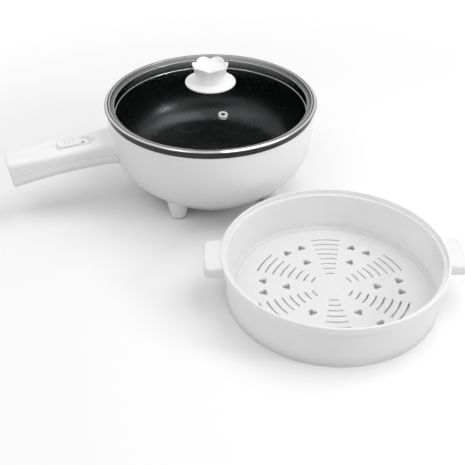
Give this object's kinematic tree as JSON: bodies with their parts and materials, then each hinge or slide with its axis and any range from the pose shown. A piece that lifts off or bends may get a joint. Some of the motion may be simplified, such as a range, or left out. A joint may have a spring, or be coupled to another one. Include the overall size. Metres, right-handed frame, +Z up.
{
  "type": "electric frying pot",
  "caption": "Round electric frying pot with a side handle, slide switch, domed glass lid with lobed knob, and a slotted steamer basket beside it.",
  "frame": {"origin": "point on the table under the centre of the pot's bowl", "axes": "+Z up along the pot's axis, -X from the bowl along the handle to the power inlet"},
  "size_m": [0.4736, 0.5202, 0.175],
  "materials": {
    "white_shell": "gloss",
    "white_cap": "satin",
    "knob_white": "satin",
    "basket_white": "satin",
    "black_moulding": "matte",
    "blade_metal": "satin",
    "pad_rubber": "matte",
    "seal_silicone": "matte",
    "screw_steel": "satin",
    "sheath_steel": "satin",
    "nonstick_black": "satin",
    "cast_plate": "satin",
    "lid_steel": "polished",
    "lid_glass": "clear",
    "wire_blue": "matte",
    "wire_green": "matte",
    "wire_brown": "matte",
    "wire_white": "matte"
  },
  "bodies": {
    "pot": {"housing": "white_shell", "handle_cover": "white_shell", "base_cover": "white_shell", "inlet_socket": "black_moulding", "inlet_blades": "blade_metal", "switch_body": "black_moulding", "switch_terminals": "blade_metal", "foot_pads": "pad_rubber", "base_screws": "screw_steel", "handle_screws": "screw_steel", "inner_pan": "nonstick_black", "rim_seal": "seal_silicone", "heating_plate": "cast_plate", "heating_element": "sheath_steel", "heat_shield": "sheath_steel", "plate_posts": "sheath_steel", "post_screws": "screw_steel", "thermostat": "white_cap", "thermostat_strap": "sheath_steel", "thermal_fuse": "sheath_steel", "fuse_clip": "sheath_steel", "strap_screws": "screw_steel", "wire_neutral": "wire_blue", "wire_earth": "wire_green", "wire_live": "wire_brown", "wire_switched": "wire_brown", "wire_jumpers": "wire_white"},
    "lid": {"lid_rim": "lid_steel", "lid_gasket": "seal_silicone", "lid_glass": "lid_glass", "vent_eyelet": "lid_steel", "knob_skirt": "knob_white", "knob": "knob_white", "knob_screw": "screw_steel", "knob_washer": "seal_silicone"},
    "steamer": {"steamer_basket": "basket_white"},
    "switch": {"switch_slider": "white_cap"}
  },
  "joints": [
    {"name": "lid_lift", "type": "slide", "parent": "pot", "child": "lid", "axis": [0, 0, 1], "range_m": [0, 0.15]},
    {"name": "steamer_lift", "type": "slide", "parent": "pot", "child": "steamer", "axis": [0, 0, 1], "range_m": [0, 0.12]},
    {"name": "switch_slide", "type": "slide", "parent": "pot", "child": "switch", "axis": [0.998, 0, 0.0626], "range_m": [0, 0.009]}
  ]
}
